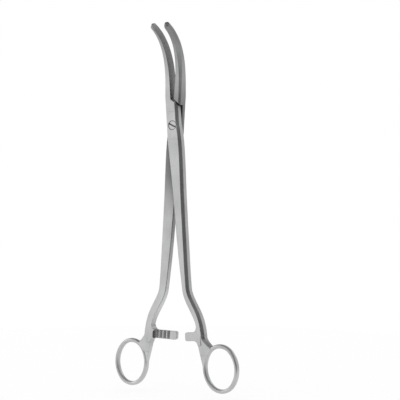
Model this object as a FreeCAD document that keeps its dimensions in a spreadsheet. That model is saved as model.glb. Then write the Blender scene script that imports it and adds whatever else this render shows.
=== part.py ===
"""Curved hysterectomy forceps, about 24 cm long.

Two steel halves are lapped over each other at a slotted pivot screw. Above the screw each half
carries one jaw, curved towards the front. Below it runs a long shank that flares out to a ratchet
bar and ends in an oval finger ring.

Frame: +Z runs along the instrument to the jaw tips, +X to the right and +Y to the back. The
origin lies on the pivot axis, on the flat back of the joint. Each half is drawn closed, with the
middle plane of the joint at Y = 0, and is then turned about the pivot into the resting pose.
"""
import FreeCAD, Part
import math
import os
import Sketcher

Vector = FreeCAD.Vector

# Driving sizes in millimetres and degrees
SIZES = {
    "joint_thick": 8.0,        # both halves together, front to back, at the screw
    "ground_flat": 0.04,       # ground off the front and back of the joint
    "lap_gap": 0.08,           # from the middle plane to each lapped face
    "half_open": 3.9,          # turn of each half from closed to the resting pose
    "shoulder_high": 17.0,     # height of the lap's shoulder on the jaw side, at the middle
    "shoulder_slope": 38.0,    # fall of the shoulder from the middle to the edge
    "shoulder_gap": 0.25,      # clearance at the shoulder when closed
    "grip_gap": 0.15,          # from the closing plane to each jaw's gripping face
    "screw_head": 6.0,         # diameter of the pivot screw's head
    "head_deep": 1.6,
    "screw_neck": 4.0,         # plain part that the front half turns on
    "screw_thread": 3.6,
    "turning_fit": 0.04,       # radial clearance of the front half on the screw
    "thread_fit": 0.02,
    "head_sunk": 0.12,         # the head lies this far under the flat
    "slot_wide": 0.8,
    "slot_deep": 0.8,
    "slot_turn": -21.0,
    "jaw_straight": 30.0,      # height at which the jaw starts to curve
    "jaw_radius_low": 48.4,
    "jaw_turn_low": 20.6,
    "jaw_radius_high": 29.1,
    "jaw_turn_high": 43.5,
    "jaw_wide_bend": 6.95,     # width of the gripping face where the curve tightens
    "jaw_wide_tip": 4.85,
    "jaw_thick_bend": 3.9,
    "jaw_thick_tip": 2.7,
    "jaw_bevel_root": 1.2,     # outer bevel, measured across the gripping direction
    "jaw_bevel_bend": 1.7,
    "jaw_bevel_tip": 1.3,
    "jaw_fall_bend": 2.0,      # outer bevel, measured along the jaw's width
    "jaw_fall_tip": 1.4,
    "handle_thick": 5.0,       # shank at the ratchet, front to back
    "bevel_wide": 2.0,         # long bevel on the outer front edge of the shank
    "bevel_deep": 1.4,
    "side_lean": 0.6,
    "lap_edge": 0.3,
    "handle_bevel": 1.2,
    "inner_edge": 0.4,
    "ring_hole_wide": 20.8,
    "ring_hole_high": 26.2,
    "ring_wire_wide": 2.7,
    "ring_wire_deep": 3.8,
    "ring_wire_edge": 1.25,    # how far the wire's edges are rounded, in two facets each
    "ring_end_radius": 8.95,   # hole's radius at the ring's top and bottom
    "ring_aside": 23.9,        # ring centre from the middle plane, closed
    "ring_below_neck": 8.8,    # ring centre under the last section of the neck
    "spur_deep": 3.2,
    "spur_lap": 1.0,           # the spur starts this far up in the neck
    "spur_above_ring": 1.6,    # and ends this far over the ring's middle
    "bar_high": 5.6,
    "bar_drop": 0.85,          # bars' middle under the ratchet station
    "rear_bar_reach": 10.0,    # rear bar's tip past the middle plane, closed
    "rear_bar_tilt": 3.9,
    "front_bar_reach": 0.3,
    "tooth_pitch": 3.0,
    "tooth_deep": 1.0,
    "rear_teeth": 4,
    "front_teeth": 2,
    "rear_land": 5.2,          # plain tip of the rear bar
    "front_land": 1.6,
    "bar_root": 3.0,           # radius of the corners between bar and shank
    "bar_round": 1.3,          # radius of the corners at the bar's tip
    "tooth_crest": 0.8,
    "front_mill": 2.4,         # milled relief from the shank's inner edge, into the shank
    "rear_mill": -1.2,
    "front_mill_clear": 0.9,   # milled relief over and under the bar
    "rear_mill_clear": 0.3,
    "mill_corner": 1.2,
}

# Stations down the shank: distance below the last one, inner edge and width
STATIONS = {
    "pivot": (0.0, -4.9, 10.1),
    "throat": (12.0, -4.2, 10.5),
    "upper": (28.0, -2.8, 8.75),
    "middle": (32.0, -1.8, 7.4),
    "slim": (25.0, -0.5, 6.0),
    "flare": (9.0, 0.15, 5.5),
    "knee": (7.0, 1.1, 6.0),
    "bend": (8.0, 4.3, 6.3),
    "elbow": (8.0, 7.6, 5.6),
    "ratchet": (8.0, 8.2, 6.1),
    "root": (4.0, 8.4, 7.1),
    "crotch": (3.5, 8.8, 9.7),
    "neck": (5.5, 9.7, 11.6),
}
# Stations where one loft of the shank ends and the next begins
RUN_ENDS = ("pivot", "flare", "ratchet")
# How far each station's section has moved from the lap to the middle, and how much it slims
CENTRED = {"knee": 0.35, "bend": 0.8, "elbow": 1.0, "ratchet": 1.0, "root": 1.0, "crotch": 1.0,
           "neck": 1.0}
SLIMMED = {"root": 0.93, "crotch": 0.84, "neck": 0.7}
# How much of the full edge bevels the lowest sections have
EDGED = {"crotch": 0.8, "neck": 0.6}

for station, (drop, inner, width) in STATIONS.items():
    SIZES[station + "_drop"] = drop
    SIZES[station + "_inner"] = inner
    SIZES[station + "_width"] = width


class Term:
    """A number together with the spreadsheet expression that gives it."""

    def __init__(self, value, text=None):
        self.value = value
        self.text = text or repr(value)

    def __add__(self, other):
        other = as_term(other)
        return Term(self.value + other.value, f"({self.text} + {other.text})")

    def __sub__(self, other):
        other = as_term(other)
        return Term(self.value - other.value, f"({self.text} - {other.text})")

    def __mul__(self, other):
        other = as_term(other)
        return Term(self.value * other.value, f"({self.text} * {other.text})")

    def __truediv__(self, other):
        other = as_term(other)
        return Term(self.value / other.value, f"({self.text} / {other.text})")

    def __neg__(self):
        return self * -1

    def __rsub__(self, other):
        return as_term(other) - self

    __radd__ = __add__
    __rmul__ = __mul__


def as_term(number):
    return number if isinstance(number, Term) else Term(number)


def sine(angle):
    return Term(math.sin(math.radians(angle.value)), f"sin({angle.text} * 1 deg)")


def cosine(angle):
    return Term(math.cos(math.radians(angle.value)), f"cos({angle.text} * 1 deg)")


doc = FreeCAD.newDocument("forceps")
sheet = doc.addObject("Spreadsheet::Sheet", "size")
for row, (alias, number) in enumerate(SIZES.items(), start=1):
    sheet.set(f"A{row}", alias)
    sheet.set(f"B{row}", str(number))
    sheet.setAlias(f"B{row}", alias)
doc.recompute()


def size(alias):
    return Term(float(SIZES[alias]), "size." + alias)


def origin_plane(body, role):
    return next(item for item in body.Origin.OriginFeatures if item.Role == role)


def attach(sketch, body, role, base=(0, 0, 0), axis=Vector(0, 0, 1), angle=0.0):
    """Lays a sketch on an origin plane, moved by base and turned about axis, all bound."""
    terms = [as_term(value) for value in base]
    turn = as_term(angle)
    sketch.AttachmentSupport = [(origin_plane(body, role), "")]
    sketch.MapMode = "FlatFace"
    sketch.AttachmentOffset = FreeCAD.Placement(
        Vector(*[term.value for term in terms]), FreeCAD.Rotation(axis, turn.value))
    for letter, term in zip("xyz", terms):
        sketch.setExpression("AttachmentOffset.Base." + letter, term.text)
    sketch.setExpression("AttachmentOffset.Rotation.Angle", turn.text)


def pin_point(sketch, geometry, position, x_term, y_term):
    """Fixes a point of a sketch at a bound place."""
    for kind, term in (("DistanceX", x_term), ("DistanceY", y_term)):
        number = sketch.addConstraint(
            Sketcher.Constraint(kind, -1, 1, geometry, position, term.value))
        sketch.setExpression(f"Constraints[{number}]", term.text)


def arc_between(first, last, radius, turn):
    """The short arc from first to last: turn is 1 for anticlockwise, -1 for clockwise."""
    chord = last - first
    side = Vector(-chord.y, chord.x, 0) / chord.Length * turn
    centre = (first + last) / 2 + side * math.sqrt(radius ** 2 - (chord.Length / 2) ** 2)
    ends = (first, last) if turn > 0 else (last, first)
    angles = [math.atan2(point.y - centre.y, point.x - centre.x) for point in ends]
    return Part.ArcOfCircle(Part.Circle(centre, Vector(0, 0, 1), radius), *angles)


def outline(body, name, role, points, arcs=None, **placing):
    """A closed outline whose corners are bound to the sizes.

    arcs gives a radius and a turn for each edge that is an arc, by the number of its first corner.
    """
    sketch = body.newObject("Sketcher::SketchObject", name)
    attach(sketch, body, role, **placing)
    arcs = arcs or {}
    corners = [(as_term(x), as_term(y)) for x, y in points]
    places = [Vector(x.value, y.value, 0) for x, y in corners]
    count = len(corners)
    starts = []
    for index in range(count):
        first, last = places[index], places[(index + 1) % count]
        radius, turn = arcs.get(index, (None, 1))
        if radius is None:
            sketch.addGeometry(Part.LineSegment(first, last))
        else:
            sketch.addGeometry(arc_between(first, last, radius.value, turn))
        starts.append(1 if turn > 0 else 2)
    for index, start in enumerate(starts):
        following = (index + 1) % count
        sketch.addConstraint(
            Sketcher.Constraint("Coincident", index, 3 - start, following, starts[following]))
    for index, (x, y) in enumerate(corners):
        pin_point(sketch, index, starts[index], x, y)
    for index, (radius, turn) in arcs.items():
        number = sketch.addConstraint(Sketcher.Constraint("Radius", index, radius.value))
        sketch.setExpression(f"Constraints[{number}]", radius.text)
    return sketch


def circle(body, name, role, radius, **placing):
    sketch = body.newObject("Sketcher::SketchObject", name)
    attach(sketch, body, role, **placing)
    sketch.addGeometry(Part.Circle(Vector(0, 0, 0), Vector(0, 0, 1), radius.value))
    sketch.addConstraint(Sketcher.Constraint("Coincident", 0, 3, -1, 1))
    number = sketch.addConstraint(Sketcher.Constraint("Radius", 0, radius.value))
    sketch.setExpression(f"Constraints[{number}]", radius.text)
    return sketch


def pad(body, name, sketch_maker, back, deep):
    """Adds an outline as a plate whose back face lies at back and is deep thick."""
    feature = body.newObject("PartDesign::Pad", name)
    feature.Profile = sketch_maker(base=(0, 0, -back))
    feature.Length = deep.value
    feature.setExpression("Length", deep.text)
    return feature


def cut(body, name, sketch_maker, front, deep):
    """Cuts an outline away from front towards the back, deep far."""
    feature = body.newObject("PartDesign::Pocket", name)
    feature.Profile = sketch_maker(base=(0, 0, -front))
    feature.Length = deep.value
    feature.setExpression("Length", deep.text)
    return feature


# Places that the halves share
half_thick = size("joint_thick") / 2
flat_level = half_thick - size("ground_flat")
lap_level = size("lap_gap")
handle_level = size("handle_thick") / 2
outside = size("joint_thick") * 2


def station_height(name):
    """Height of a station: the drops above it added up, downwards."""
    total = Term(0.0)
    for station in STATIONS:
        total = total - size(station + "_drop")
        if station == name:
            return total


ring_height = station_height("neck") - size("ring_below_neck")
bar_height = station_height("ratchet") - size("bar_drop")


def shank_section(name):
    """Corners of the front half's shank at a station, seen from above."""
    inner = size(name + "_inner")
    outer = inner + size(name + "_width")
    centred, edged = CENTRED.get(name, 0.0), EDGED.get(name, 1.0)
    level = handle_level * SLIMMED.get(name, 1.0)
    front = -half_thick * (1 - centred) - level * centred
    back = -lap_level * (1 - centred) + level * centred
    inner_edge = size("jaw_bevel_root") if name == "pivot" else size("inner_edge") * edged
    lap_edge = size("lap_edge") * edged
    outer_edge = lap_edge * (1 - centred) + size("handle_bevel") * edged * centred
    side = outer - size("side_lean") * edged
    return [
        (inner + inner_edge, front),
        (side - size("bevel_wide") * edged, front),
        (side, front + size("bevel_deep") * edged),
        (outer, back - outer_edge),
        (outer - outer_edge, back),
        (inner + lap_edge, back),
        (inner, back - lap_edge),
        (inner, front + inner_edge),
    ]


def shoulder_rise(aside):
    """Height of the shoulder's line at a distance from the middle."""
    slope = size("shoulder_slope")
    return size("shoulder_high") - aside * sine(slope) / cosine(slope)


def add_loft(body, name, sections):
    loft = body.newObject("PartDesign::AdditiveLoft", name)
    loft.Profile = sections[0]
    loft.Sections = sections[1:]
    return loft


def add_shank(body, right, front):
    """The lapped plate at the screw and the shank down to the ring, as a run of lofts."""
    runs = [[("pivot", size("shoulder_high") * 1.05)]]
    for name in STATIONS:
        place = (name, station_height(name))
        runs[-1].append(place)
        if name in RUN_ENDS:
            runs.append([place])
    for part, run in enumerate(runs):
        sections = []
        for number, (name, height) in enumerate(run):
            corners = [(x * right, y * front) for x, y in shank_section(name)]
            sections.append(outline(
                body, f"{body.Name}_shank_{part}_{number}", "XY_Plane", corners,
                base=(0, 0, height)))
        add_loft(body, f"{body.Name}_shank_{part}", sections)


def jaw_path(turn_low, turn_high):
    """Place and tilt of the jaw's middle line after turning through its two arcs."""
    low, high = size("jaw_radius_low"), size("jaw_radius_high")
    turned = turn_low + turn_high
    forward = low - low * cosine(turn_low) + high * (cosine(turn_low) - cosine(turned))
    upward = size("jaw_straight") + low * sine(turn_low) + high * (sine(turned) - sine(turn_low))
    return -forward, upward, turned


def jaw_section(wide, thick, bevel, fall, side):
    """Corners across the jaw: a flat gripping face and two bevelled outer edges."""
    face, outer = size("grip_gap") * side, thick * side
    inset, reach = (thick - bevel) * side, wide / 2
    return [(face, reach), (inset, reach), (outer, reach - fall),
            (outer, fall - reach), (inset, -reach), (face, -reach)]


def add_jaw(body, side):
    """The full-thickness jaw: straight out of the joint, curved forward and rounded off."""
    low, high, none = size("jaw_turn_low"), size("jaw_turn_high"), Term(0.0)
    straight = size("jaw_straight")
    root = (size("joint_thick"), -size("pivot_inner"), size("jaw_bevel_root"),
            size("jaw_bevel_root"))
    bend = (size("jaw_wide_bend"), size("jaw_thick_bend"), size("jaw_bevel_bend"),
            size("jaw_fall_bend"))
    tip = (size("jaw_wide_tip"), size("jaw_thick_tip"), size("jaw_bevel_tip"),
           size("jaw_fall_tip"))

    def between(first, second, share):
        return [one + (two - one) * share for one, two in zip(first, second)]

    runs = [
        [((none, straight * 0.33, none), root), ((none, straight * 0.66, none), root)],
        [((none, straight * 0.66, none), root),
         (jaw_path(none, none), between(root, bend, 0.4)),
         (jaw_path(low / 2, none), between(root, bend, 0.7)),
         (jaw_path(low, none), bend)],
        [(jaw_path(low, none), bend),
         (jaw_path(low, high / 3), between(bend, tip, 0.33)),
         (jaw_path(low, high * 0.667), between(bend, tip, 0.667)),
         (jaw_path(low, high), tip)],
    ]
    for part, run in enumerate(runs):
        sections = []
        for number, ((forward, upward, turned), across) in enumerate(run):
            sections.append(outline(
                body, f"{body.Name}_jaw_{part}_{number}", "XY_Plane", jaw_section(*across, side),
                base=(0, forward, upward), axis=Vector(1, 0, 0), angle=turned))
        add_loft(body, f"{body.Name}_jaw_{part}", sections)

    forward, upward, turned = jaw_path(low, high)
    corners = jaw_section(*tip, side)
    half = [(corners[0][0], 0.0)] + corners[:3] + [(corners[2][0], 0.0)]
    profile = outline(body, body.Name + "_tip_outline", "XY_Plane", half,
                      base=(0, forward, upward), axis=Vector(1, 0, 0), angle=turned)
    end = body.newObject("PartDesign::Revolution", body.Name + "_tip")
    end.Profile = profile
    end.ReferenceAxis = (profile, ["H_Axis"])
    end.Angle = 180


def on_front(body, name, points):
    """Gives a maker of one outline seen from the front, laid at any depth."""
    return lambda base: outline(body, name, "XZ_Plane", points, base=base)


def cut_shoulders(body, right, front):
    """Makes room for the other half at the joint: over the plate and behind the jaw."""
    far, top = size("pivot_width") * 1.5, size("jaw_straight") * 3
    gap, face = size("shoulder_gap"), size("grip_gap")
    plate = [(face * -right, shoulder_rise(face)), (far * right, shoulder_rise(far)),
             (far * right, top), (face * -right, top)]
    cut(body, body.Name + "_plate_top", on_front(body, body.Name + "_plate_line", plate),
        -outside, outside * 2)
    jaw_root = [(far * right, -far), (far * right, shoulder_rise(-far) + gap),
                (Term(0.0), shoulder_rise(Term(0.0)) + gap),
                (far * -right, shoulder_rise(far) + gap), (far * -right, -far)]
    start = -lap_level if front > 0 else -outside
    deep = outside + lap_level
    cut(body, body.Name + "_jaw_root", on_front(body, body.Name + "_jaw_line", jaw_root),
        start, deep)


def grind_flat(body, front):
    """A true flat round the screw on the outside of the joint."""
    reach, high = -size("pivot_inner"), size("throat_drop") * 0.75
    land = [(-reach, -high), (reach, -high), (reach, high), (-reach, high)]
    start = -outside if front > 0 else flat_level
    cut(body, body.Name + "_ground_flat", on_front(body, body.Name + "_flat_outline", land),
        start, outside - flat_level)


def arcsine(ratio):
    return Term(math.degrees(math.asin(ratio.value)), f"asin({ratio.text}) / 1 deg")


def add_ring(body, right):
    """The oval finger ring: a flat-sided, rounded wire turned round four arcs that meet."""
    wide, deep = size("ring_wire_wide") / 2, size("ring_wire_deep") / 2
    across, along = size("ring_hole_wide") / 2 + wide, size("ring_hole_high") / 2 + wide
    end, over = size("ring_end_radius") + wide, size("ring_hole_high") / 2 - size("ring_end_radius")
    side = (across * across + over * over - end * end) / ((across - end) * 2)
    lean = arcsine(over / (side - end))
    upright = 90 - lean
    aside, edge = size("ring_aside"), size("ring_wire_edge")
    high = side * sine(lean)
    shift = side * cosine(lean) - side + across
    corners = [(aside - across, ring_height), (aside - shift, ring_height + high),
               (aside + shift, ring_height + high), (aside + shift, ring_height - high),
               (aside - shift, ring_height - high)]
    turn = -right
    cut(body, body.Name + "_neck_end",
        lambda base: outline(
            body, body.Name + "_neck_line", "XZ_Plane", [(x * right, z) for x, z in corners],
            {0: (side, turn), 1: (end, turn), 2: (side, turn), 3: (end, turn), 4: (side, turn)},
            base=base),
        -outside, outside * 2)
    arcs = (("outer", aside - side + across, ring_height, 90 - right * 90, side, lean),
            ("top", aside, ring_height + over, Term(-90.0), end, upright),
            ("bottom", aside, ring_height - over, Term(90.0), end, upright),
            ("inner", aside + side - across, ring_height, 90 + right * 90, side, lean))
    round_off = edge * (1 - cosine(Term(45.0)))
    quarter = [(wide, deep - edge), (wide - round_off, deep - round_off), (wide - edge, deep)]
    section = quarter + [(-x, y) for x, y in reversed(quarter)]
    section += [(-x, -y) for x, y in section]
    for name, x, z, facing, radius, half_turn in arcs:
        wire = outline(
            body, f"{body.Name}_ring_{name}_wire", "XY_Plane",
            [(radius + out, y) for out, y in section],
            base=(x * right, 0, z), axis=Vector(0, 1, 0), angle=facing)
        turned = body.newObject("PartDesign::Revolution", f"{body.Name}_ring_{name}")
        turned.Profile = wire
        turned.ReferenceAxis = (wire, ["V_Axis"])
        turned.Midplane = True
        turned.Angle = half_turn.value * 2
        turned.setExpression("Angle", (half_turn * 2).text)


def add_spur(body, right):
    """The thin heel that carries the neck's inner edge down into the ring's inner side."""
    top, foot = station_height("neck") + size("spur_lap"), ring_height + size("spur_above_ring")
    across, along = [(size("ring_hole_" + way) + size("ring_wire_wide")) / 2 for way in ("wide", "high")]
    wall = size("ring_aside") - across
    crown = size("ring_aside") - across * cosine(arcsine((top - ring_height) / along))
    heel = [(size("neck_inner") - size("spur_lap") * 0.1, top), (crown, top), (wall, foot),
            (wall - size("ring_wire_wide") * 0.3, foot)]
    pad(body, body.Name + "_spur",
        on_front(body, body.Name + "_spur_outline", [(x * right, z) for x, z in heel]),
        size("spur_deep") / 2, size("spur_deep"))


def add_bar(body, right, front, reach, teeth, land, mill, clear, tilt):
    """The ratchet bar: its outline, the relief for the other bar and its teeth."""
    inner, lower = size("ratchet_inner"), size("crotch_inner")
    half_high, root, round_end = size("bar_high") / 2, size("bar_root"), size("bar_round")
    tip, far = -reach, inner + root
    slope = -sine(tilt) / cosine(tilt)

    def level(x):
        return bar_height + x * slope

    top, under = bar_height + half_high, bar_height - half_high
    points = [
        (far, under - root), (lower, under - root), (lower - root, under),
        (tip + round_end, level(tip) - half_high), (tip, level(tip) - half_high + round_end),
        (tip, level(tip) + half_high - round_end), (tip + round_end, level(tip) + half_high),
        (inner - root, top), (inner, top + root), (far, top + root)]
    bend = {1: (root, 1), 3: (round_end, -1), 5: (round_end, -1), 7: (root, 1)}
    pad(body, body.Name + "_bar",
        lambda base: outline(body, body.Name + "_bar_outline", "XZ_Plane",
                             [(x * right, z) for x, z in points],
                             {edge: (radius, turn * right) for edge, (radius, turn) in bend.items()},
                             base=base),
        handle_level, handle_level * 2)

    wall, corner = inner + mill, size("mill_corner")
    open_end = tip * 2 - inner
    high, low = bar_height + half_high + clear, bar_height - half_high - clear
    relief = [(wall - corner, low), (wall, low + corner), (wall, high - corner),
              (wall - corner, high), (open_end, high + open_end * slope), (open_end, low)]
    start = -lap_level if front > 0 else -outside
    cut(body, body.Name + "_relief",
        on_front(body, body.Name + "_relief_outline", [(x * right, z) for x, z in relief]),
        start, outside + lap_level)

    pitch, steep = size("tooth_pitch"), land - reach
    rest = steep + pitch - size("tooth_crest")
    face = lap_level
    above = face - size("tooth_deep")
    groove = outline(
        body, body.Name + "_groove_outline", "XY_Plane",
        [(x * right, y * -front) for x, y in
         ((steep, face + size("tooth_deep")), (steep, above), (rest, above), (rest, face))],
        base=(0, 0, bar_height + size("bar_high")))
    tooth = body.newObject("PartDesign::Pocket", body.Name + "_groove")
    tooth.Profile = groove
    tooth.Length = size("bar_high").value * 2
    tooth.setExpression("Length", (size("bar_high") * 2).text)
    row = body.newObject("PartDesign::LinearPattern", body.Name + "_teeth")
    row.Originals = [tooth]
    row.Direction = (groove, ["H_Axis"])
    row.Reversed = right < 0
    row.Length = ((teeth - 1) * pitch).value
    row.setExpression("Length", ((teeth - 1) * pitch).text)
    row.Occurrences = int(teeth.value)
    row.setExpression("Occurrences", teeth.text)
    body.Tip = row


def place(body, label, turn):
    """Names a body and turns it about the pivot, with the joint's back at the origin."""
    body.Label = label
    back = -flat_level
    body.Placement = FreeCAD.Placement(
        Vector(0, back.value, 0), FreeCAD.Rotation(Vector(0, 1, 0), turn.value))
    body.setExpression("Placement.Base.y", back.text)
    body.setExpression("Placement.Rotation.Angle", turn.text)


def build_half(label, right, front, reach, teeth, land, mill, clear, tilt):
    body = doc.addObject("PartDesign::Body", label)
    add_shank(body, right, front)
    add_ring(body, right)
    add_spur(body, right)
    add_jaw(body, -right)
    cut_shoulders(body, right, front)
    grind_flat(body, front)
    add_bar(body, right, front, reach, teeth, land, mill, clear, tilt)
    return body


def bore(body, name, radius, front, deep):
    """A round hole on the pivot axis."""
    return cut(body, name, lambda base: circle(body, name + "_outline", "XZ_Plane", radius, base=base),
               front, deep)


front_half = build_half(
    "front_half", 1, 1, size("front_bar_reach"), size("front_teeth"), size("front_land"),
    size("front_mill"), size("front_mill_clear"), Term(0.0))
bore(front_half, "neck_bore", size("screw_neck") / 2 + size("turning_fit"), -outside, outside * 2)
bore(front_half, "head_bore", size("screw_head") / 2 + size("turning_fit"), -outside,
     outside - flat_level + size("head_sunk") + size("head_deep") + size("turning_fit"))
place(front_half, "front_half", -size("half_open"))

rear_half = build_half(
    "rear_half", -1, -1, size("rear_bar_reach"), size("rear_teeth"), size("rear_land"),
    size("rear_mill"), size("rear_mill_clear"), size("rear_bar_tilt"))
bore(rear_half, "thread_bore", size("screw_thread") / 2 + size("thread_fit"), -outside, outside * 2)
place(rear_half, "rear_half", size("half_open"))

# The pivot screw: a flush slotted head, a plain neck and a threaded end ground off at the back
screw = doc.addObject("PartDesign::Body", "pivot_screw")
head_top = -flat_level + size("head_sunk")
head_foot = head_top + size("head_deep")
head, neck, thread = size("screw_head") / 2, size("screw_neck") / 2, size("screw_thread") / 2
profile = outline(
    screw, "screw_profile", "XY_Plane",
    [(0.0, head_top), (head, head_top), (head, head_foot), (neck, head_foot),
     (neck, lap_level), (thread, lap_level), (thread, flat_level), (0.0, flat_level)])
turned = screw.newObject("PartDesign::Revolution", "screw_turned")
turned.Profile = profile
turned.ReferenceAxis = (profile, ["V_Axis"])
turned.Angle = 360
slot_cos, slot_sin = cosine(size("slot_turn")), sine(size("slot_turn"))
long, wide = size("screw_head"), size("slot_wide") / 2
slot = [(slot_cos * x - slot_sin * y, slot_sin * x + slot_cos * y)
        for x, y in ((-long, -wide), (long, -wide), (long, wide), (-long, wide))]
cut(screw, "screw_slot", on_front(screw, "slot_outline", slot), -outside,
    outside + head_top + size("slot_deep"))
place(screw, "pivot_screw", size("half_open"))

doc.recompute()

PIECES = [front_half, rear_half, screw]
for item in doc.Objects:
    if "Invalid" in item.State or "Error" in item.State:
        raise RuntimeError(f"{item.Name} failed: {item.State}")
for piece in PIECES:
    if piece.Shape.isNull() or not piece.Shape.isValid():
        raise RuntimeError(f"{piece.Label} has no valid shape")
    if len(piece.Shape.Solids) != 1:
        raise RuntimeError(f"{piece.Label} is {len(piece.Shape.Solids)} solids, not 1")

os.makedirs("parts", exist_ok=True)
for piece in PIECES:
    piece.Shape.exportStep(f"parts/{piece.Label}.step")
    print(piece.Label, round(piece.Shape.Volume, 1), piece.Shape.BoundBox)
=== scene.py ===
"""Curved hysterectomy forceps in satin steel, upright just above a plain white floor."""
import math
import bpy
from mathutils import Matrix, Vector


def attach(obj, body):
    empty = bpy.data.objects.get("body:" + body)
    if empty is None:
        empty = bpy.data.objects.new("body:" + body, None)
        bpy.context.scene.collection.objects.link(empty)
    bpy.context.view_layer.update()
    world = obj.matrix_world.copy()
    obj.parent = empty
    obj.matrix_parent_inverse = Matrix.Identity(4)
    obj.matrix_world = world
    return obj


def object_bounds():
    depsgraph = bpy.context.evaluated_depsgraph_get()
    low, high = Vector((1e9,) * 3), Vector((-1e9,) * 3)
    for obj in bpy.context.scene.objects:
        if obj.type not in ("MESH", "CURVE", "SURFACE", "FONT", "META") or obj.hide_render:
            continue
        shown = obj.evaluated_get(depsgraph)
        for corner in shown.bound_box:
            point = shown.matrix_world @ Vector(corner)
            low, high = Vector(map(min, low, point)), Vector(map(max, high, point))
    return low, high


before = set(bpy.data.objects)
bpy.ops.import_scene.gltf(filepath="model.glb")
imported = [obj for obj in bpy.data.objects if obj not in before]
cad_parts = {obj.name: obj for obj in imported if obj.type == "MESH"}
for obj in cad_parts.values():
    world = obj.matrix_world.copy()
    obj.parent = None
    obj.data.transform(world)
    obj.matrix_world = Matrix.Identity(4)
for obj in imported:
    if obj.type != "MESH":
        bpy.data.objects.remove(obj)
cad_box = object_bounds()

MM = 0.001
VIEW = math.radians(33.0)          # the camera stands to the right of the front by this much
HALF_OPEN = math.radians(3.9)      # turn of each half from closed, as in the source
MID_PLANE = -3.96                  # depth of the joint's middle plane, millimetres

scene = bpy.context.scene
scene.view_settings.view_transform = "Standard"


# Helpers for node trees
def add(tree, kind, **values):
    """A new node with its settings."""
    node = tree.nodes.new(kind)
    for name, value in values.items():
        setattr(node, name, value)
    return node


def ranged(tree, value, low, high, first, last, smooth=False):
    """Carries a value from low..high over to first..last, and stops at both ends."""
    node = add(tree, "ShaderNodeMapRange")
    if smooth:
        node.interpolation_type = "SMOOTHSTEP"
    node.inputs["From Min"].default_value = low
    node.inputs["From Max"].default_value = high
    node.inputs["To Min"].default_value = first
    node.inputs["To Max"].default_value = last
    tree.links.new(value, node.inputs["Value"])
    return node.outputs["Result"]


def worked(tree, operation, first, second=None):
    """One step of arithmetic on two sockets, or on one socket alone."""
    node = add(tree, "ShaderNodeMath", operation=operation)
    tree.links.new(first, node.inputs[0])
    if second is not None:
        tree.links.new(second, node.inputs[1])
    return node.outputs[0]


def along(tree, vector, direction):
    """How far a vector points along a fixed direction."""
    node = add(tree, "ShaderNodeVectorMath", operation="DOT_PRODUCT")
    node.inputs[1].default_value = direction
    tree.links.new(vector, node.inputs[0])
    return node.outputs["Value"]


def scaled(tree, vector, scale):
    """A vector stretched by a fixed scale on each axis."""
    node = add(tree, "ShaderNodeMapping")
    node.inputs["Scale"].default_value = scale
    tree.links.new(vector, node.inputs["Vector"])
    return node.outputs["Vector"]


def part_of(tree, vector, axis):
    """One axis of a vector."""
    node = add(tree, "ShaderNodeSeparateXYZ")
    tree.links.new(vector, node.inputs["Vector"])
    return node.outputs[axis]


def any_ray(tree, *kinds):
    """Says whether a ray is one of the kinds named, as 0 or 1."""
    ray = add(tree, "ShaderNodeLightPath")
    found = ray.outputs[kinds[0]]
    for kind in kinds[1:]:
        found = worked(tree, "MAXIMUM", found, ray.outputs[kind])
    return found


# Materials. Heights and distances are in metres, tones are shares of the full colour
EDGE_RADIUS = 0.0006
# Painted shade in crevices and between parts, from ambient occlusion over this reach
CREVICE_SHADE_REACH = 0.012
CREVICE_SHADE_FADE = (-0.150, -0.105)    # the painted crevice shade is off below and full above
JAW_SHADE_FADE = (0.022, 0.062)          # painted shade: the jaws grow darker from the first to the second height
# Shares of the colour left on the jaws by the painted shade
JAW_SHADE, REAR_JAW_SHADE = 0.66, 0.72
SHADED_HEIGHT = -0.010             # middle of the rear half's shade behind the joint
SHADED_REACH = (0.015, 0.055)
SHADED_TONE = 0.47
SCREW_RIM_SHADE_TONE = 0.30
MM_PER_METRE = 1000.0
PLAIN_COLOUR = (0.54, 0.542, 0.545)
GRIP_COLOUR = (0.66, 0.663, 0.666)
GROUND_ALONG = (1.0, 1.0, 0.12)    # draws the ground lines out along the instrument


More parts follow.
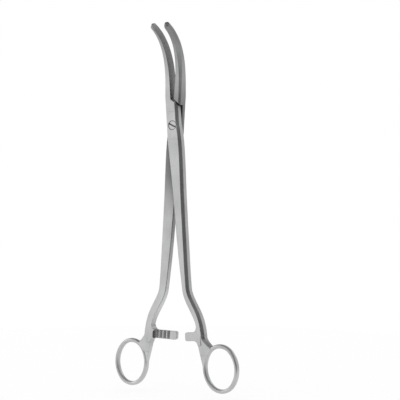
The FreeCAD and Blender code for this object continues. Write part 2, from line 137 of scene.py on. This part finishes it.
def steel(name, colour, rough, grain_scale, stretch, shade=0.28, screw_rim_shade=None,
          behind_the_joint=False):
    """Satin steel: fine ground lines, cloudy tone, painted shade in crevices, edges that are
    smoother and darkened by painted shade, and painted shade on the jaws.
    """
    material = bpy.data.materials.new(name)
    material.use_nodes = True
    tree = material.node_tree
    link = tree.links.new
    shader = tree.nodes["Principled BSDF"]
    shader.inputs["Metallic"].default_value = 1.0
    place = add(tree, "ShaderNodeTexCoord").outputs["Object"]
    height = part_of(tree, place, "Z")
    normal = add(tree, "ShaderNodeNewGeometry").outputs["Normal"]

    lines = add(tree, "ShaderNodeTexNoise")
    lines.inputs["Scale"].default_value = grain_scale
    lines.inputs["Detail"].default_value = 4.0
    lines.inputs["Roughness"].default_value = 0.65
    link(scaled(tree, place, stretch), lines.inputs["Vector"])
    clouds = add(tree, "ShaderNodeTexNoise")
    clouds.inputs["Scale"].default_value = 70.0
    clouds.inputs["Detail"].default_value = 5.0
    link(place, clouds.inputs["Vector"])

    round_edge = add(tree, "ShaderNodeBevel", samples=6)
    round_edge.inputs["Radius"].default_value = EDGE_RADIUS
    flatness = add(tree, "ShaderNodeVectorMath", operation="DOT_PRODUCT")
    link(round_edge.outputs["Normal"], flatness.inputs[0])
    link(normal, flatness.inputs[1])
    # Painted shade on the edges: their colour is darkened, and they are also made smoother
    worn_and_shaded_edge = ranged(tree, flatness.outputs["Value"], 0.995, 0.90, 0.0, 1.0)
    # Painted shade: the colour is darkened where ambient occlusion finds nearby surfaces, except
    # close to the floor
    crevice_shade_ao = add(tree, "ShaderNodeAmbientOcclusion", samples=8)
    crevice_shade_ao.inputs["Distance"].default_value = CREVICE_SHADE_REACH
    depth = worked(tree, "MAXIMUM", ranged(tree, crevice_shade_ao.outputs["AO"], 0.60, 0.98, shade, 1.0),
                   ranged(tree, height, *CREVICE_SHADE_FADE, 1.0, 0.0))

    tones = [ranged(tree, lines.outputs["Fac"], 0.25, 0.75, 0.95, 1.05),
             ranged(tree, worn_and_shaded_edge, 0.0, 1.0, 1.0, 0.84),
             depth,
             ranged(tree, height, *JAW_SHADE_FADE, 1.0, JAW_SHADE, smooth=True)]
    if behind_the_joint:
        # More painted shade on the rear half's jaw
        tones.append(ranged(tree, height, *JAW_SHADE_FADE, 1.0, REAR_JAW_SHADE, smooth=True))
        away = add(tree, "ShaderNodeMath", operation="SUBTRACT")
        away.inputs[1].default_value = SHADED_HEIGHT
        link(height, away.inputs[0])
        distance = worked(tree, "ABSOLUTE", away.outputs[0])
        shaded = ranged(tree, distance, *SHADED_REACH, SHADED_TONE, 1.0, smooth=True)
        back = ranged(tree, part_of(tree, normal, "Y"), 0.0, 0.6, 0.0, 1.0)
        tones.append(worked(tree, "MAXIMUM", shaded, back))
    # Painted shade on the screw head's rim, growing darker outward from the screw's axis
    if screw_rim_shade:
        radius = add(tree, "ShaderNodeVectorMath", operation="LENGTH")
        link(scaled(tree, place, (MM_PER_METRE, 0.0, MM_PER_METRE)), radius.inputs[0])
        tones.append(ranged(tree, radius.outputs["Value"], *screw_rim_shade, SCREW_RIM_SHADE_TONE, 1.0, smooth=True))
    tone = ranged(tree, clouds.outputs["Fac"], 0.30, 0.65, 0.88, 1.04)
    for share in tones:
        tone = worked(tree, "MULTIPLY", tone, share)
    tint = add(tree, "ShaderNodeVectorMath", operation="SCALE")
    tint.inputs[0].default_value = colour
    link(tone, tint.inputs["Scale"])
    link(tint.outputs["Vector"], shader.inputs["Base Color"])

    gloss = ranged(tree, lines.outputs["Fac"], 0.25, 0.75, rough - 0.05, rough + 0.06)
    link(worked(tree, "MULTIPLY", gloss, ranged(tree, worn_and_shaded_edge, 0.0, 1.0, 1.0, 0.85)),
         shader.inputs["Roughness"])

    relief = add(tree, "ShaderNodeBump")
    relief.inputs["Strength"].default_value = 0.15
    relief.inputs["Distance"].default_value = 0.00006
    link(lines.outputs["Fac"], relief.inputs["Height"])
    link(round_edge.outputs["Normal"], relief.inputs["Normal"])
    link(relief.outputs["Normal"], shader.inputs["Normal"])
    return material


node_steel = {
    "front_half": steel("satin_steel", PLAIN_COLOUR, 0.29, 900.0, GROUND_ALONG),
    "rear_half": steel("rear_steel", PLAIN_COLOUR, 0.29, 900.0, GROUND_ALONG,
                       behind_the_joint=True),
    # Painted shade: the screw head's rim is dark from the first radius in to the second, in
    # millimetres
    "pivot_screw": steel("turned_steel", PLAIN_COLOUR, 0.26, 1400.0, (1.0, 0.2, 1.0),
                         screw_rim_shade=(3.0, 2.45)),
}
grip_steel = steel("grip_steel", GRIP_COLOUR, 0.45, 1600.0, (1.0, 1.0, 1.0), shade=0.55)

for node, material in node_steel.items():
    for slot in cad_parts[node].material_slots:
        slot.material = material


# Cross-hatched jaws, in millimetres and lengths up from the pivot
STRAIGHT = 30.0
RADIUS_LOW, TURN_LOW = 48.4, math.radians(20.6)
RADIUS_HIGH, TURN_HIGH = 29.1, math.radians(43.5)
LOW_LENGTH, HIGH_LENGTH = RADIUS_LOW * TURN_LOW, RADIUS_HIGH * TURN_HIGH
ROOT_LENGTH = 19.8
BEND_LENGTH = STRAIGHT + LOW_LENGTH
TIP_LENGTH = BEND_LENGTH + HIGH_LENGTH
ROOT_WIDE, BEND_WIDE, TIP_WIDE = 8.0, 6.95, 4.85
TIP_RADIUS = 2.42
GRIP_GAP = 0.15                    # half the gap between the closed jaws
GRIP_START = 18.2
PAST_TIP = 2.3                     # rows go on this far past the start of the round tip
PITCH_ALONG, PITCH_ACROSS = 0.85, 0.75
RIDGE = 0.11
SUNK = 0.02                        # the pyramids' feet lie this deep in the jaw
RIM = 0.12


def jaw_line(length):
    """Depth, height and tilt of the jaw's middle line at a length up from the pivot."""
    if length <= STRAIGHT:
        return 0.0, length, 0.0
    length -= STRAIGHT
    if length <= LOW_LENGTH:
        turn = length / RADIUS_LOW
        return -RADIUS_LOW * (1 - math.cos(turn)), STRAIGHT + RADIUS_LOW * math.sin(turn), turn
    turn = min((length - LOW_LENGTH) / RADIUS_HIGH, TURN_HIGH) + TURN_LOW
    forward = (RADIUS_LOW * (1 - math.cos(TURN_LOW))
               + RADIUS_HIGH * (math.cos(TURN_LOW) - math.cos(turn)))
    upward = (STRAIGHT + RADIUS_LOW * math.sin(TURN_LOW)
              + RADIUS_HIGH * (math.sin(turn) - math.sin(TURN_LOW)))
    past = max(0.0, length - LOW_LENGTH - HIGH_LENGTH)
    return -forward - past * math.sin(turn), upward + past * math.cos(turn), turn


def half_width(length):
    """Half the width of the gripping face at a length up from the pivot."""
    if length < ROOT_LENGTH:
        return ROOT_WIDE / 2
    if length < BEND_LENGTH:
        share = (length - ROOT_LENGTH) / (BEND_LENGTH - ROOT_LENGTH)
        return (ROOT_WIDE + (BEND_WIDE - ROOT_WIDE) * share) / 2
    if length < TIP_LENGTH:
        share = (length - BEND_LENGTH) / (TIP_LENGTH - BEND_LENGTH)
        return (BEND_WIDE + (TIP_WIDE - BEND_WIDE) * share) / 2
    reach = TIP_RADIUS ** 2 - (length - TIP_LENGTH) ** 2
    return math.sqrt(reach) if reach > 0 else 0.0


def grip(name, side, body, turn):
    """Rows of small pyramids on a jaw's gripping face, in diamonds."""
    place = Matrix.Translation((0, MID_PLANE * MM, 0)) @ Matrix.Rotation(turn, 4, "Y")
    vertices, faces = [], []

    def put(length, across, proud):
        depth, height, tilt = jaw_line(length)
        point = Vector(((GRIP_GAP - proud) * side,
                        depth + across * math.cos(tilt),
                        height + across * math.sin(tilt)))
        vertices.append(place @ (point * MM))
        return len(vertices) - 1

    row = 0
    length = GRIP_START
    count = int(ROOT_WIDE / PITCH_ACROSS) + 2
    half_along, half_across = PITCH_ALONG / 2, PITCH_ACROSS / 2
    while length < TIP_LENGTH + PAST_TIP:
        offset = 0.5 if row % 2 else 0.0
        room = min(half_width(length - half_along), half_width(length + half_along))
        for column in range(-count, count + 1):
            across = (column + offset) * PITCH_ACROSS
            if abs(across) + half_across > room - RIM:
                continue
            corners = [put(length - half_along, across, -SUNK),
                       put(length, across + half_across, -SUNK),
                       put(length + half_along, across, -SUNK),
                       put(length, across - half_across, -SUNK)]
            top = put(length, across, RIDGE)
            for first in range(4):
                one, two = corners[first], corners[(first + 1) % 4]
                faces.append((one, two, top) if side > 0 else (two, one, top))
        row += 1
        length += half_along
    mesh = bpy.data.meshes.new(name)
    mesh.from_pydata(vertices, [], faces)
    mesh.materials.append(grip_steel)
    piece = bpy.data.objects.new(name, mesh)
    scene.collection.objects.link(piece)
    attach(piece, body)


grip("front_jaw_grip", -1, "front", -HALF_OPEN)
grip("rear_jaw_grip", 1, "rear", HALF_OPEN)


# Floor
FLOOR_GLOW, FLOOR_SHARE = 1.10, 0.72
FLOOR_RADIUS = 0.30
FLOOR_BACK = 0.16                  # the floor's middle lies this far behind the instrument
CLOSING_DROP = 0.0037              # the front half's ring swings down this far when it closes


def white_floor():
    """A pale matt floor that shows mostly as white and keeps a faint shadow."""
    material = bpy.data.materials.new("white_floor")
    material.use_nodes = True
    tree = material.node_tree
    tree.nodes.clear()
    matt = add(tree, "ShaderNodeBsdfDiffuse")
    matt.inputs["Color"].default_value = (0.85, 0.85, 0.85, 1)
    glow = add(tree, "ShaderNodeEmission")
    glow.inputs["Strength"].default_value = FLOOR_GLOW
    share = add(tree, "ShaderNodeMath", operation="MULTIPLY")
    share.inputs[1].default_value = FLOOR_SHARE
    tree.links.new(any_ray(tree, "Is Camera Ray", "Is Glossy Ray", "Is Transmission Ray"),
                   share.inputs[0])
    mix = add(tree, "ShaderNodeMixShader")
    tree.links.new(share.outputs[0], mix.inputs["Fac"])
    tree.links.new(matt.outputs[0], mix.inputs[1])
    tree.links.new(glow.outputs[0], mix.inputs[2])
    out = add(tree, "ShaderNodeOutputMaterial")
    tree.links.new(mix.outputs[0], out.inputs["Surface"])
    return material


bpy.ops.mesh.primitive_circle_add(
    vertices=96, radius=FLOOR_RADIUS, fill_type="NGON",
    location=(-FLOOR_BACK * math.sin(VIEW), FLOOR_BACK * math.cos(VIEW),
              cad_box[0].z - CLOSING_DROP))
floor = bpy.context.object
floor.name = "floor"
floor.data.materials.append(white_floor())


# A studio whose camera side and ceiling are dim, as the steel's bevels show it
DIM_LEVEL, CEILING_LEVEL, RIGHT_LEVEL, DIFFUSE_LEVEL = 0.12, 0.25, 0.70, 0.80


def studio():
    """White to the camera, shaded walls in the steel, and one plain level for all else."""
    world = bpy.data.worlds.new("studio")
    world.use_nodes = True
    tree = world.node_tree
    tree.nodes.clear()
    toward = add(tree, "ShaderNodeTexCoord").outputs["Generated"]
    camera_side = along(tree, toward, (math.sin(VIEW), -math.cos(VIEW), 0.0))
    right_side = along(tree, toward, (math.cos(VIEW), math.sin(VIEW), 0.0))
    open_side = ranged(tree, camera_side, 0.96, 0.70, 0.0, 1.0, smooth=True)
    overhead = ranged(tree, part_of(tree, toward, "Z"), 0.30, 0.85, 1.0, CEILING_LEVEL,
                      smooth=True)
    right_wall = ranged(tree, right_side, 0.3, 0.9, 1.0, RIGHT_LEVEL, smooth=True)
    walls = worked(tree, "MULTIPLY", overhead, right_wall)
    level = ranged(tree, worked(tree, "MULTIPLY", open_side, walls), 0.0, 1.0, DIM_LEVEL, 1.0)
    reflected = worked(tree, "MULTIPLY", any_ray(tree, "Is Glossy Ray"), level)
    shown = worked(tree, "MAXIMUM", any_ray(tree, "Is Camera Ray", "Is Transmission Ray"),
                   reflected)
    others = ranged(tree, any_ray(tree, "Is Camera Ray", "Is Glossy Ray", "Is Transmission Ray"),
                    0.0, 1.0, DIFFUSE_LEVEL, 0.0)
    light = add(tree, "ShaderNodeBackground")
    light.inputs["Color"].default_value = (1.0, 1.0, 1.0, 1)
    tree.links.new(worked(tree, "ADD", shown, others), light.inputs["Strength"])
    out = add(tree, "ShaderNodeOutputWorld")
    tree.links.new(light.outputs[0], out.inputs["Surface"])
    return world


scene.world = studio()


# Lamps
AIM = Vector((0, 0, -0.05))


def lamp(name, azimuth, height, distance, size, energy):
    """A soft square lamp aimed at the instrument's middle."""
    data = bpy.data.lights.new(name, "AREA")
    data.shape = "SQUARE"
    data.size = size
    data.energy = energy
    lamp_object = bpy.data.objects.new(name, data)
    scene.collection.objects.link(lamp_object)
    turn = math.radians(azimuth)
    lamp_object.location = (math.sin(turn) * distance, -math.cos(turn) * distance, height)
    aim = AIM - lamp_object.location
    lamp_object.rotation_euler = aim.to_track_quat("-Z", "Y").to_euler()


lamp("key", -60.0, 0.55, 1.1, 0.7, 1.0)
lamp("rim", 150.0, 0.60, 1.2, 0.6, 0.6)


# Camera. The picture's middle lies right of the pivot and a little above the optical axis
PICTURE = 400
DISTANCE = 0.800
CAMERA_HEIGHT = -0.052

camera_data = bpy.data.cameras.new("camera")
camera_data.sensor_width = 36.0
camera_data.lens = 110.0
camera_data.shift_x = 24.5 / PICTURE
camera_data.shift_y = 5.0 / PICTURE
camera_data.clip_start = 0.01
camera = bpy.data.objects.new("camera", camera_data)
scene.collection.objects.link(camera)
camera.location = (math.sin(VIEW) * DISTANCE,
                   MID_PLANE * MM - math.cos(VIEW) * DISTANCE,
                   CAMERA_HEIGHT)
camera.rotation_euler = (math.radians(90.0), 0.0, VIEW)
scene.camera = camera
